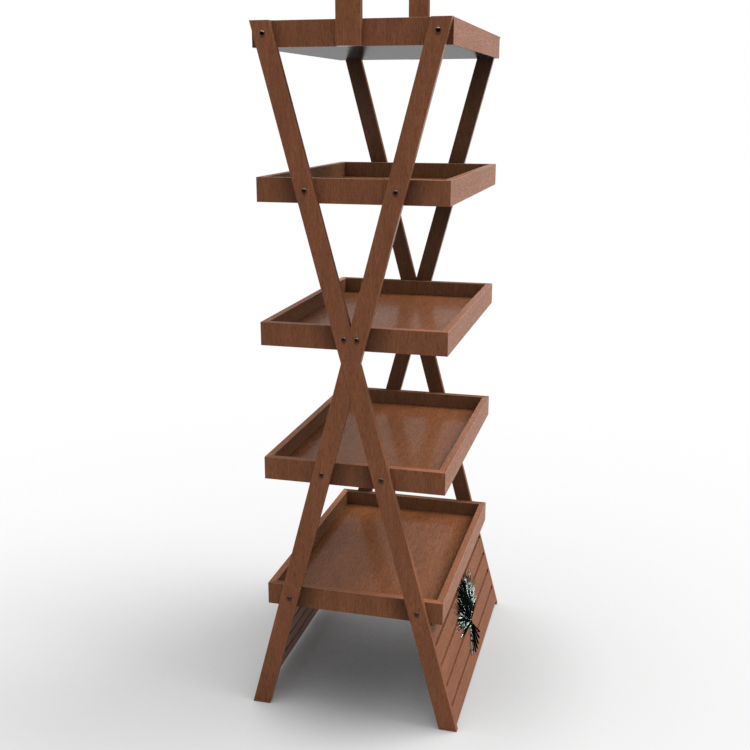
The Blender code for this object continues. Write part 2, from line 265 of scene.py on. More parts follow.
def makeGrainGroup():
    # straight grained stained wood; the fibres run along the vector's Z
    group = bpy.data.node_groups.new("stainedGrain", "ShaderNodeTree")
    sockets = (
        ("INPUT", "Vector", "NodeSocketVector", None),
        ("INPUT", "Wood", "NodeSocketColor", (0.2, 0.08, 0.04, 1)),
        ("INPUT", "Streak", "NodeSocketColor", (0.1, 0.035, 0.018, 1)),
        ("INPUT", "Streak Share", "NodeSocketFloat", 0.5),
        ("INPUT", "Pore Share", "NodeSocketFloat", 0.4),
        ("INPUT", "Fibres Per Metre", "NodeSocketFloat", 300.0),
        ("INPUT", "Gloss", "NodeSocketFloat", 0.45),
        ("OUTPUT", "Color", "NodeSocketColor", None),
        ("OUTPUT", "Roughness", "NodeSocketFloat", None),
        ("OUTPUT", "Height", "NodeSocketFloat", None),
    )
    for way, name, kind, value in sockets:
        socket = group.interface.new_socket(name, in_out=way, socket_type=kind)
        if value is not None:
            socket.default_value = value
    given = addNode(group, "NodeGroupInput", -1600, 0)
    out = addNode(group, "NodeGroupOutput", 1200, 0)

    # the fibres wander a few millimetres over their length
    slow = addNode(group, "ShaderNodeMapping", -1400, 300)
    slow.inputs["Scale"].default_value = (1, 1, grainValues["bendStretch"])
    link(group, given.outputs["Vector"], slow.inputs["Vector"])
    bend = addNode(group, "ShaderNodeTexNoise", -1200, 300)
    link(group, slow.outputs[0], bend.inputs["Vector"])
    bend.inputs["Scale"].default_value = grainValues["bendScale"]
    bend.inputs["Detail"].default_value = 1
    bendBy = addNode(group, "ShaderNodeVectorMath", -1000, 300, operation="MULTIPLY_ADD")
    link(group, bend.outputs["Color"], bendBy.inputs[0])
    bendBy.inputs[1].default_value = grainValues["bendBy"]
    link(group, given.outputs["Vector"], bendBy.inputs[2])

    long = addNode(group, "ShaderNodeMapping", -800, 200)
    long.inputs["Scale"].default_value = (1, 1, grainValues["fibreStretch"])
    link(group, bendBy.outputs[0], long.inputs["Vector"])
    longer = addNode(group, "ShaderNodeMapping", -800, -100)
    longer.inputs["Scale"].default_value = (1, 1, grainValues["bandStretch"])
    link(group, bendBy.outputs[0], longer.inputs["Vector"])

    fine = addNode(group, "ShaderNodeTexNoise", -600, 300)
    link(group, long.outputs[0], fine.inputs["Vector"])
    link(group, given.outputs["Fibres Per Metre"], fine.inputs["Scale"])
    fine.inputs["Detail"].default_value = 3
    fine.inputs["Roughness"].default_value = 0.6
    fineLines = addRange(group, fine.outputs["Fac"], -400, 300, *grainValues["fibreFrom"], 0, 1)
    poreScale = addMath(group, "MULTIPLY", -600, 50, given.outputs["Fibres Per Metre"],
                        grainValues["poresPerFibre"])
    pore = addNode(group, "ShaderNodeTexNoise", -400, 50)
    link(group, long.outputs[0], pore.inputs["Vector"])
    link(group, poreScale, pore.inputs["Scale"])
    pore.inputs["Detail"].default_value = 1
    poreMarks = addRange(group, pore.outputs["Fac"], -200, 50, *grainValues["poreFrom"], 0, 1)
    bands = addNoise(group, longer.outputs[0], -600, -150, grainValues["bandScale"], 2)
    bandTone = addRange(group, bands, -400, -150, *grainValues["toneFrom"], *grainValues["bandTones"])
    patches = addNoise(group, given.outputs["Vector"], -600, -400, grainValues["patchScale"], 2)
    patchTone = addRange(group, patches, -400, -400, *grainValues["toneFrom"], *grainValues["patchTones"])

    streaks = addMath(group, "MULTIPLY", 0, 300, fineLines, given.outputs["Streak Share"])
    pores = addMath(group, "MULTIPLY", 0, 50, poreMarks, given.outputs["Pore Share"])
    tone = addMath(group, "MULTIPLY", 0, -250, bandTone, patchTone)
    toneColour = addNode(group, "ShaderNodeCombineColor", 200, -250)
    for socket in toneColour.inputs[:3]:
        link(group, tone, socket)
    toned = addColourMix(group, 400, 0, 1.0, given.outputs["Wood"], toneColour.outputs[0],
                         "MULTIPLY")
    streaked = addColourMix(group, 600, 0, streaks, toned, given.outputs["Streak"])
    pored = addColourMix(group, 800, 0, pores, streaked, grainValues["poreColour"])
    link(group, pored, out.inputs["Color"])

    roughBy = addMath(group, "MULTIPLY_ADD", 600, -300, fineLines, grainValues["fibreRoughness"],
                      given.outputs["Gloss"])
    roughBy = addMath(group, "MULTIPLY_ADD", 800, -300, pores, grainValues["poreRoughness"], roughBy)
    link(group, roughBy, out.inputs["Roughness"])
    high = addMath(group, "MULTIPLY_ADD", 600, -500, fineLines, -grainValues["fibreDepth"], 1.0)
    high = addMath(group, "MULTIPLY_ADD", 800, -500, poreMarks, -grainValues["poreDepth"], high)
    link(group, high, out.inputs["Height"])
    return group


edgeValues = {
    "slantFrom": (0.25, 0.42),  # 0 on a face that looks along an axis, 0.5 halfway between two
    "highlightBreakScale": 60,
    "highlightBreakFrom": (0.3, 0.6),
    "highlightBreakLeast": 0.6,
}


def makeEdgeGroup():
    # finds the eased edges: their faces look between two of the three axes; noise breaks the mask up, and
    # the woods paint a highlight there
    group = bpy.data.node_groups.new("easedEdge", "ShaderNodeTree")
    group.interface.new_socket("Normal", in_out="INPUT", socket_type="NodeSocketVector")
    group.interface.new_socket("Vector", in_out="INPUT", socket_type="NodeSocketVector")
    share = group.interface.new_socket("Share", in_out="INPUT", socket_type="NodeSocketFloat")
    share.default_value = 0.5
    group.interface.new_socket("Edge", in_out="OUTPUT", socket_type="NodeSocketFloat")
    given = addNode(group, "NodeGroupInput", -800, 0)
    out = addNode(group, "NodeGroupOutput", 600, 0)
    squared = addNode(group, "ShaderNodeVectorMath", -600, 0, operation="MULTIPLY")
    link(group, given.outputs["Normal"], squared.inputs[0])
    link(group, given.outputs["Normal"], squared.inputs[1])
    fourth = addNode(group, "ShaderNodeVectorMath", -400, 0, operation="DOT_PRODUCT")
    link(group, squared.outputs[0], fourth.inputs[0])
    link(group, squared.outputs[0], fourth.inputs[1])
    between = addMath(group, "SUBTRACT", -200, 0, 1.0, fourth.outputs["Value"])
    onEdge = addRange(group, between, 0, 0, *edgeValues["slantFrom"], 0, 1)
    highlightBreak = addNoise(group, given.outputs["Vector"], -400, -200, edgeValues["highlightBreakScale"], 2)
    highlightBreakBy = addRange(group, highlightBreak, -200, -200, *edgeValues["highlightBreakFrom"], edgeValues["highlightBreakLeast"], 1)
    edge = addMath(group, "MULTIPLY", 200, 0, onEdge, highlightBreakBy)
    edge = addMath(group, "MULTIPLY", 400, 0, edge, given.outputs["Share"])
    link(group, edge, out.inputs["Edge"])
    return group


barValues = {
    "footMiddle": 0.2562,  # a bar's middle at the floor, from the rack's middle
    "leanShare": 0.26651,  # how far it leans in, per metre up
    "halfSpan": 0.0238,
    "boltHeight": 0.3225,
    "boltPitch": 0.350,
    "trayUnderside": 0.2915,  # of the lowest tray; the others follow at the bolts' pitch
    "top": 1.75,
    "postsFrom": 1.7,  # inner faces above this are the posts'
}


def makeBarShadeGroup():
    # how near a spot lies to the under side of a slanting bar, along the trays' ends
    group = bpy.data.node_groups.new("besideBars", "ShaderNodeTree")
    group.interface.new_socket("Vector", in_out="INPUT", socket_type="NodeSocketVector")
    reach = group.interface.new_socket("Reach", in_out="INPUT", socket_type="NodeSocketFloat")
    reach.default_value = 0.075
    group.interface.new_socket("Near", in_out="OUTPUT", socket_type="NodeSocketFloat")
    given = addNode(group, "NodeGroupInput", -1200, 0)
    out = addNode(group, "NodeGroupOutput", 800, 0)
    spot = addNode(group, "ShaderNodeSeparateXYZ", -1000, 0)
    link(group, given.outputs["Vector"], spot.inputs[0])
    line = addMath(group, "MULTIPLY_ADD", -800, 200, spot.outputs["Z"], -barValues["leanShare"],
                   barValues["footMiddle"])
    leftOfFront = addMath(group, "SUBTRACT", -600, 200, line, spot.outputs["X"])
    rightOfBack = addMath(group, "ADD", -600, 0, line, spot.outputs["X"])
    near = []
    for up, across in ((200, leftOfFront), (0, rightOfBack)):
        gone = addMath(group, "SUBTRACT", -400, up, across, barValues["halfSpan"])
        share = addMath(group, "DIVIDE", -200, up, gone, given.outputs["Reach"])
        fade = addRange(group, share, 0, up, 0, 1, 1, 0)
        under = addMath(group, "GREATER_THAN", 0, up - 100, across, 0.0)
        near.append(addMath(group, "MULTIPLY", 200, up, fade, under))
    both = addMath(group, "ADD", 400, 0, near[0], near[1])
    link(group, both, out.inputs["Near"])
    return group


def makeBoltPlaceGroup():
    # how far a spot lies from the axis of the nearest bolt: sideways, and above it
    group = bpy.data.node_groups.new("nearestBolt", "ShaderNodeTree")
    group.interface.new_socket("Vector", in_out="INPUT", socket_type="NodeSocketVector")
    group.interface.new_socket("Across", in_out="OUTPUT", socket_type="NodeSocketFloat")
    group.interface.new_socket("Up", in_out="OUTPUT", socket_type="NodeSocketFloat")
    given = addNode(group, "NodeGroupInput", -1200, 0)
    out = addNode(group, "NodeGroupOutput", 600, 0)
    spot = addNode(group, "ShaderNodeSeparateXYZ", -1000, 0)
    link(group, given.outputs["Vector"], spot.inputs[0])
    above = addMath(group, "SUBTRACT", -800, -200, spot.outputs["Z"], barValues["boltHeight"])
    halfPitch = barValues["boltPitch"] / 2
    above = addMath(group, "WRAP", -600, -200, above, halfPitch, -halfPitch)
    level = addMath(group, "SUBTRACT", -400, 0, spot.outputs["Z"], above)
    line = addMath(group, "MULTIPLY_ADD", -200, 0, level, -barValues["leanShare"],
                   barValues["footMiddle"])
    fromFront = addMath(group, "SUBTRACT", 0, 100, line, spot.outputs["X"])
    fromFront = addMath(group, "ABSOLUTE", 200, 100, fromFront)
    fromBack = addMath(group, "ADD", 0, -100, line, spot.outputs["X"])
    fromBack = addMath(group, "ABSOLUTE", 200, -100, fromBack)
    across = addMath(group, "MINIMUM", 400, 0, fromFront, fromBack)
    link(group, across, out.inputs["Across"])
    link(group, above, out.inputs["Up"])
    return group


stainedGrain = makeGrainGroup()
easedEdge = makeEdgeGroup()
besideBars = makeBarShadeGroup()
nearestBolt = makeBoltPlaceGroup()


# wood finishes

woodValues = {
    "stainedBar": {"wood": (0.272, 0.104, 0.049), "streak": (0.15, 0.051, 0.023),
                   "streakShare": 0.5, "poreShare": 0.45, "fibres": 380.0, "gloss": 0.42,
                   "specular": 0.1, "fibresAlong": "Z", "edgeHighlightShare": 0.25},
    "stainedEndBoard": {"wood": (0.254, 0.097, 0.0455), "streak": (0.136, 0.047, 0.021),
                        "streakShare": 0.5, "poreShare": 0.45, "fibres": 380.0, "gloss": 0.42,
                        "specular": 0.1, "fibresAlong": "Z", "edgeHighlightShare": 0.7},
    "stainedLongBoard": {"wood": (0.276, 0.108, 0.053), "streak": (0.156, 0.054, 0.026),
                         "streakShare": 0.55, "poreShare": 0.45, "fibres": 380.0, "gloss": 0.39,
                         "specular": 0.11, "fibresAlong": "Y", "edgeHighlightShare": 0.7},
    "stainedPanel": {"wood": (0.206, 0.078, 0.037), "streak": (0.12, 0.041, 0.018),
                     "streakShare": 0.5, "poreShare": 0.4, "fibres": 380.0, "gloss": 0.52,
                     "specular": 0.1, "fibresAlong": "Y", "edgeHighlightShare": 0.3},
    "stainedFloor": {"wood": (0.242, 0.09, 0.038), "streak": (0.136, 0.045, 0.018),
                     "streakShare": 0.72, "poreShare": 0.55, "fibres": 400.0, "gloss": 0.4,
                     "specular": 0.03, "fibresAlong": "Y", "edgeHighlightShare": 0.3},
}
toneValues = {
    "edgeHighlightColour": (0.5, 0.28, 0.2),
    "bumpStrength": 0.35,
    "bumpDistance": 0.0004,
    # what the stain's colour is multiplied by on some faces, as painted light and shade
    "frontRimPaintedLight": (1.04, 0.99, 0.95),
    "backRimPaintedLight": (2.25, 2.25, 2.25),
    "leftRimPaintedLight": (1.28, 1.28, 1.28),
    "rightRimPaintedShade": (0.72, 0.72, 0.72),
    "backRimRoughness": 0.56,
    "rightRimRoughness": 0.75,
    "endInsidePaintedLight": (1.04, 1.4, 1.5),  # painted light on the short boards' faces into the trays, lighter and greyer
    "longInsidePaintedLight": (1.04, 1.3, 1.38),
    # painted shade on the bars' narrow faces that look up, at foot and top, and on those that look down,
    # which are glossier
    "barSideUpPaintedShade": ((0.83, 0.83, 0.83), (0.64, 0.62, 0.61)),
    "barSideUpRoughness": 0.7,
    "barSideDownPaintedShade": (0.9, 0.88, 0.86),
    "barSideCoat": 0.42,
    "barCoatRoughness": 0.2,
    "barInside": (0.64, 0.8, 0.88),  # painted shade on the bars' faces towards the trays
    # painted light on the posts' faces towards the trays
    "postInsidePaintedLight": (1.3, 1.5, 1.55),
    "underTrayShadeShare": 0.6,  # how much painted shade darkens the bars' insides right under a tray
    "underTrayShadeReach": 0.24,
    "closeUnderShadeShare": 0.7,  # and once more within a few centimetres
    "closeUnderShadeReach": 0.05,
    "panelInside": (0.52, 0.33, 0.275),  # the panels' bare backs, paler than their fronts, and paler still as painted light in their deep shade
    "panelInsideShare": 0.75,
    "floorBackPaintedLight": (1.42, 1.44, 1.38),  # painted light on the tray floors towards the back; a little painted shade towards the front
    "floorFrontPaintedShade": (0.94, 0.93, 0.92),
    "floorSpan": (-0.17, 0.17),  # where the one goes over into the other
    "besideBarShadowShare": 0.56,  # how much painted shadow darkens the end boards right under a bar
    "besideBarShadowReach": 0.075,
    "boltShadeShare": 0.5,
    "boltShadeSize": (0.0066, 0.0078),  # half its width and height, around a spot below the bolt
    "boltShadeDrop": 0.004,
    "boltShadeFrom": (0.4, 1.7),
    "floorCoat": 0.15,
    "floorCoatRoughness": 0.15,
    "undersideCoat": 0.345,
    "undersideColour": (0.017, 0.0155, 0.0145),  # the tray floors are dark sealed board below
    "undersideFlecks": 160,
    "undersideFleckFrom": (0.3, 0.7),
    "undersideFleckLeast": 0.85,
}


faceTests = {
    # which way a face looks, times its place: below zero where it looks to the rack's middle
    "boardInside": -0.1,
    "boardOutside": 0.2,
    "barInside": -0.2,
    "panelInside": -0.15,
    # how far it looks up, or along the rack
    "rim": 0.9,
    "narrow": 0.5,
    "down": -0.1,
    "sole": -0.98,
    "underside": -0.5,
}


def addTone(tree, across, up, mask, colour, tone):
    # multiplies the colour by the tone where the mask is 1
    amount = addColourMix(tree, across, up, mask, (1, 1, 1), tone)
    return addColourMix(tree, across + 200, up, 1.0, colour, amount, "MULTIPLY")


def makeWood(name):
    values = woodValues[name]
    finish = bpy.data.materials.new(name)
    finish.use_nodes = True
    tree = finish.node_tree
    shader = tree.nodes["Principled BSDF"]
    shader.location = (1800, 0)
    tree.nodes["Material Output"].location = (2100, 0)
    spots = addNode(tree, "ShaderNodeTexCoord", -1400, 0)
    turned = addNode(tree, "ShaderNodeMapping", -1200, 0)
    link(tree, spots.outputs["Object"], turned.inputs["Vector"])
    if values["fibresAlong"] == "Y":
        turned.inputs["Rotation"].default_value = (math.pi / 2, 0, 0)
    grain = addNode(tree, "ShaderNodeGroup", -1000, 0, node_tree=stainedGrain)
    link(tree, turned.outputs[0], grain.inputs["Vector"])
    grain.inputs["Wood"].default_value = (*values["wood"], 1)
    grain.inputs["Streak"].default_value = (*values["streak"], 1)
    grain.inputs["Streak Share"].default_value = values["streakShare"]
    grain.inputs["Pore Share"].default_value = values["poreShare"]
    grain.inputs["Fibres Per Metre"].default_value = values["fibres"]
    grain.inputs["Gloss"].default_value = values["gloss"]
    side = addNode(tree, "ShaderNodeNewGeometry", -1400, -500)
    edge = addNode(tree, "ShaderNodeGroup", -1000, -400, node_tree=easedEdge)
    link(tree, side.outputs["True Normal"], edge.inputs["Normal"])
    link(tree, spots.outputs["Object"], edge.inputs["Vector"])
    edge.inputs["Share"].default_value = values["edgeHighlightShare"]
    # painted highlight on the eased edges
    colour = addColourMix(tree, -600, 0, edge.outputs["Edge"], grain.outputs["Color"],
                          toneValues["edgeHighlightColour"])
    roughness = grain.outputs["Roughness"]

    facing = addNode(tree, "ShaderNodeSeparateXYZ", -1200, -500)
    link(tree, side.outputs["True Normal"], facing.inputs[0])
    place = addNode(tree, "ShaderNodeSeparateXYZ", -1200, -700)
    link(tree, spots.outputs["Object"], place.inputs[0])
    endways = addMath(tree, "MULTIPLY", -1000, -700, facing.outputs["Y"], place.outputs["Y"])
    depthways = addMath(tree, "MULTIPLY", -1000, -900, facing.outputs["X"], place.outputs["X"])
    if name in ("stainedEndBoard", "stainedLongBoard"):
        inward = addMath(tree, "MINIMUM", -800, -800, endways, depthways)
        inside = addMath(tree, "LESS_THAN", -600, -800, inward, faceTests["boardInside"])
        ends = name == "stainedEndBoard"
        # painted light: the boards' faces into the trays are lighter and greyer
        colour = addTone(tree, -400, -200, inside, colour,
                         toneValues["endInsidePaintedLight" if ends else "longInsidePaintedLight"])
        # painted light on the near rims and on the long boards' back rims, painted shade on the end
        # boards' far rims; the far rims are also rougher
        rim = addMath(tree, "GREATER_THAN", -600, -600, facing.outputs["Z"], faceTests["rim"])
        if ends:
            far = addMath(tree, "GREATER_THAN", -800, -600, place.outputs["Y"], 0)
        else:
            far = addMath(tree, "LESS_THAN", -800, -600, place.outputs["X"], 0)
        farRim = addMath(tree, "MULTIPLY", -400, -600, rim, far)
        nearRim = addMath(tree, "SUBTRACT", -200, -600, rim, farRim)
        colour = addTone(tree, 0, 0, nearRim, colour, toneValues["leftRimPaintedLight" if ends else "frontRimPaintedLight"])
        colour = addTone(tree, 400, 0, farRim, colour, toneValues["rightRimPaintedShade" if ends else "backRimPaintedLight"])
        dull = addMath(tree, "MULTIPLY", 200, -600, farRim,
                       toneValues["rightRimRoughness" if ends else "backRimRoughness"])
        roughness = addMath(tree, "MAXIMUM", 400, -600, roughness, dull)
    if name == "stainedEndBoard":
        # painted shadow of the bars on the end boards' outer faces, under each bar
        beside = addNode(tree, "ShaderNodeGroup", -800, -1100, node_tree=besideBars)
        link(tree, spots.outputs["Object"], beside.inputs["Vector"])
        beside.inputs["Reach"].default_value = toneValues["besideBarShadowReach"]
        outside = addMath(tree, "GREATER_THAN", -600, -1100, endways, faceTests["boardOutside"])
        shade = addMath(tree, "MULTIPLY", -400, -1100, beside.outputs["Near"], outside)
        shade = addMath(tree, "MULTIPLY", -200, -1100, shade, toneValues["besideBarShadowShare"])
        colour = addColourMix(tree, 400, 0, shade, colour, (0, 0, 0))
    if name == "stainedBar":
        acrossBar = addMath(tree, "ABSOLUTE", -800, -500, facing.outputs["Y"])
        narrow = addMath(tree, "LESS_THAN", -600, -500, acrossBar, faceTests["narrow"])
        down = addMath(tree, "LESS_THAN", -600, -600, facing.outputs["Z"], faceTests["down"])
        narrowDown = addMath(tree, "MULTIPLY", -400, -500, narrow, down)
        narrowUp = addMath(tree, "SUBTRACT", -200, -500, narrow, narrowDown)
        # painted shade on the bars' narrow faces, deeper towards the top on those that look up
        colour = addTone(tree, -400, 0, narrowDown, colour, toneValues["barSideDownPaintedShade"])
        upBar = addRange(tree, place.outputs["Z"], -800, -300, 0, barValues["top"], 0, 1)
        upTone = addColourMix(tree, -600, -300, upBar, *toneValues["barSideUpPaintedShade"])
        colour = addTone(tree, -400, -200, narrowUp, colour, upTone)
        dull = addMath(tree, "MULTIPLY", 0, -500, narrowUp, toneValues["barSideUpRoughness"])
        roughness = addMath(tree, "MAXIMUM", 200, -500, roughness, dull)
        sole = addMath(tree, "LESS_THAN", -600, -650, facing.outputs["Z"], faceTests["sole"])
        coat = addMath(tree, "MULTIPLY_ADD", -200, -650, sole, 1 - toneValues["barSideCoat"],
                       toneValues["barSideCoat"])
        coat = addMath(tree, "MULTIPLY", 0, -600, narrowDown, coat)
        link(tree, coat, shader.inputs["Coat Weight"])
        shader.inputs["Coat Roughness"].default_value = toneValues["barCoatRoughness"]
        # painted shade on the bars' faces towards the trays, painted light on the posts' faces towards
        # the trays
        inside = addMath(tree, "LESS_THAN", -600, -700, endways, faceTests["barInside"])
        high = addMath(tree, "GREATER_THAN", -600, -900, place.outputs["Z"], barValues["postsFrom"])
        onPost = addMath(tree, "MULTIPLY", -400, -900, inside, high)
        onBar = addMath(tree, "SUBTRACT", -200, -800, inside, onPost)
        colour = addTone(tree, 0, 0, onBar, colour, toneValues["barInside"])
        colour = addTone(tree, 0, -200, onPost, colour, toneValues["postInsidePaintedLight"])
        # painted shade on the bars' insides under each tray, deeper close under it
        under = addMath(tree, "SUBTRACT", -800, -1500, barValues["trayUnderside"], place.outputs["Z"])
        under = addMath(tree, "WRAP", -600, -1500, under, barValues["boltPitch"], 0.0)
        shade = addRange(tree, under, -400, -1500, 0, toneValues["underTrayShadeReach"],
                         toneValues["underTrayShadeShare"], 0)
        close = addRange(tree, under, -400, -1700, 0, toneValues["closeUnderShadeReach"],
                         toneValues["closeUnderShadeShare"], 0)
        shade = addMath(tree, "MAXIMUM", -300, -1600, shade, close)
        shade = addMath(tree, "MULTIPLY", -200, -1500, shade, onBar)
        colour = addColourMix(tree, 200, -200, shade, colour, (0, 0, 0))
        bolt = addNode(tree, "ShaderNodeGroup", -800, -1100, node_tree=nearestBolt)
        link(tree, spots.outputs["Object"], bolt.inputs["Vector"])
        halfWidth, halfHeight = toneValues["boltShadeSize"]
        across = addMath(tree, "DIVIDE", -600, -1100, bolt.outputs["Across"], halfWidth)
        below = addMath(tree, "ADD", -600, -1300, bolt.outputs["Up"], toneValues["boltShadeDrop"])
        below = addMath(tree, "DIVIDE", -400, -1300, below, halfHeight)
        away = addMath(tree, "MULTIPLY", -200, -1100, across, across)
        away = addMath(tree, "MULTIPLY_ADD", 0, -1200, below, below, away)
        shade = addRange(tree, away, 200, -1200, *toneValues["boltShadeFrom"],
                         toneValues["boltShadeShare"], 0)
        colour = addColourMix(tree, 400, 0, shade, colour, (0, 0, 0))
    if name == "stainedPanel":
        # the panels' backs: bare wood, lifted further as painted light
        inside = addMath(tree, "LESS_THAN", -800, -700, depthways, faceTests["panelInside"])
        bare = addMath(tree, "MULTIPLY", -600, -700, inside, toneValues["panelInsideShare"])
        colour = addColourMix(tree, -400, 0, bare, colour, toneValues["panelInside"])
    if name == "stainedFloor":
        # painted light: the tray floors are lighter towards the back
        toFront = addRange(tree, place.outputs["X"], -800, -900, *toneValues["floorSpan"], 0, 1)
        tone = addColourMix(tree, -600, -900, toFront, toneValues["floorBackPaintedLight"],
                            toneValues["floorFrontPaintedShade"])
        colour = addColourMix(tree, -400, 0, 1.0, colour, tone, "MULTIPLY")
        under = addMath(tree, "LESS_THAN", -800, -500, facing.outputs["Z"], faceTests["underside"])
        fleck = addNoise(tree, spots.outputs["Object"], -1000, -1300, toneValues["undersideFlecks"], 3)
        fleckTone = addRange(tree, fleck, -800, -1300, *toneValues["undersideFleckFrom"],
                             toneValues["undersideFleckLeast"], 1.0)
        sealed = addColourMix(tree, -600, -1300, fleckTone, (0, 0, 0), toneValues["undersideColour"])
        colour = addColourMix(tree, 400, 0, under, colour, sealed)
        roughness = addMath(tree, "MAXIMUM", -200, -700, roughness, under)
        moreCoat = toneValues["undersideCoat"] - toneValues["floorCoat"]
        coat = addMath(tree, "MULTIPLY_ADD", -600, -500, under, moreCoat, toneValues["floorCoat"])
        link(tree, coat, shader.inputs["Coat Weight"])
        shader.inputs["Coat Roughness"].default_value = toneValues["floorCoatRoughness"]
    link(tree, colour, shader.inputs["Base Color"])
    link(tree, roughness, shader.inputs["Roughness"])
    bump = addBump(tree, 1400, -300, grain.outputs["Height"], toneValues)
    link(tree, bump, shader.inputs["Normal"])
    shader.inputs["Specular IOR Level"].default_value = values["specular"]
    return finish


# bolt steel

steelValues = {
    "dark": (0.0012, 0.001, 0.001),
    "lowHeadLight": (0.055, 0.044, 0.042),  # painted light: the lowest heads are lighter, in cloudy patches
    "flankHighlight": (0.95, 0.84, 0.8),
    # how far up a face looks where the painted highlight starts, on the highest and the lowest heads
    "flankHighlightFrom": (0.32, 0.52),
    "flankHighlightFade": 0.2,
    "flankHighlightShare": (1.0, 0.16),
    "flankHighlightMetal": 0.5,
    "socketRadius": 0.0026,  # no highlight is painted nearer to the bolt's axis than this
    "cloudScale": 900,
    "cloudFrom": (0.2, 0.6),
    "lowLightLeast": 0.5,
    "roughness": 0.3,
    "cloudRoughness": 0.15,
    "gritScale": 2500,
    "bumpStrength": 0.2,
    "bumpDistance": 0.0001,
    "specular": 0.03,
    "span": (0.3225, 1.7225),  # heights of the lowest and the highest bolts
}


def makeSteel():
    finish = bpy.data.materials.new("blackenedSteel")
    finish.use_nodes = True
    tree = finish.node_tree
    shader = tree.nodes["Principled BSDF"]
    spots = addNode(tree, "ShaderNodeTexCoord", -1600, 0)
    place = addNode(tree, "ShaderNodeSeparateXYZ", -1400, 200)
    link(tree, spots.outputs["Object"], place.inputs[0])
    low = addNode(tree, "ShaderNodeMapRange", -1200, 200)
    link(tree, place.outputs["Z"], low.inputs["Value"])
    low.inputs["From Min"].default_value = steelValues["span"][1]
    low.inputs["From Max"].default_value = steelValues["span"][0]
    low = low.outputs["Result"]
    cloud = addNoise(tree, spots.outputs["Object"], -1200, 0, steelValues["cloudScale"], 3)
    # painted light on the lower heads, in cloudy patches
    lowLight = addRange(tree, cloud, -1000, -100, *steelValues["cloudFrom"], steelValues["lowLightLeast"], 1)
    lowLight = addMath(tree, "MULTIPLY", -1000, 0, lowLight, low)
    colour = addColourMix(tree, -800, 0, lowLight, steelValues["dark"], steelValues["lowHeadLight"])
    # painted highlight: the upper flank of each head is painted bright, less so on the lower heads; its
    # socket isn't
    side = addNode(tree, "ShaderNodeNewGeometry", -1600, -600)
    facing = addNode(tree, "ShaderNodeSeparateXYZ", -1400, -600)
    link(tree, side.outputs["Normal"], facing.inputs[0])
    highStart, lowStart = steelValues["flankHighlightFrom"]
    start = addMath(tree, "MULTIPLY_ADD", -1200, -600, low, lowStart - highStart, highStart)
    upward = addMath(tree, "SUBTRACT", -1000, -600, facing.outputs["Z"], start)
    upward = addRange(tree, upward, -800, -600, 0, steelValues["flankHighlightFade"], 0, 1)
    highShare, lowShare = steelValues["flankHighlightShare"]
    share = addMath(tree, "MULTIPLY_ADD", -1000, -450, low, lowShare - highShare, highShare)
    upward = addMath(tree, "MULTIPLY", -600, -500, upward, share)
    bolt = addNode(tree, "ShaderNodeGroup", -1000, -800, node_tree=nearestBolt)
    link(tree, spots.outputs["Object"], bolt.inputs["Vector"])
    away = addMath(tree, "MULTIPLY", -800, -800, bolt.outputs["Across"], bolt.outputs["Across"])
    away = addMath(tree, "MULTIPLY_ADD", -600, -800, bolt.outputs["Up"], bolt.outputs["Up"], away)
    flank = addMath(tree, "GREATER_THAN", -400, -800, away, steelValues["socketRadius"] ** 2)
    bright = addMath(tree, "MULTIPLY", -200, -700, upward, flank)
    colour = addColourMix(tree, -200, 0, bright, colour, steelValues["flankHighlight"])
    link(tree, colour, shader.inputs["Base Color"])
    rough = addMath(tree, "MULTIPLY_ADD", -400, -200, cloud, steelValues["cloudRoughness"],
                    steelValues["roughness"])
    link(tree, rough, shader.inputs["Roughness"])
    metal = addMath(tree, "MULTIPLY", 0, -500, bright, steelValues["flankHighlightMetal"])
    link(tree, metal, shader.inputs["Metallic"])
    grit = addNoise(tree, spots.outputs["Object"], -600, -400, steelValues["gritScale"], 2)
    link(tree, addBump(tree, -300, -400, grit, steelValues), shader.inputs["Normal"])
    shader.inputs["Specular IOR Level"].default_value = steelValues["specular"]
    return finish


woods = {name: makeWood(name) for name in woodValues}
blackenedSteel = makeSteel()


def finishFor(name):
    if "_bolt_" in name:
        return blackenedSteel
    if name.startswith("tray_") and name.endswith("_floor"):
        return woods["stainedFloor"]
    if name.endswith(("_left_board", "_right_board")):
        return woods["stainedEndBoard"]
    if name.endswith(("_bar", "_post", "_batten")):
        return woods["stainedBar"]
    if "_slat_" in name:
        return woods["stainedPanel"]
    return woods["stainedLongBoard"]


for name, node in rackNodes.items():
    for place in node.material_slots:
        place.material = finishFor(name)
print("wood and steel finishes laid on", len(rackNodes), "nodes")


# ornament on the front panel

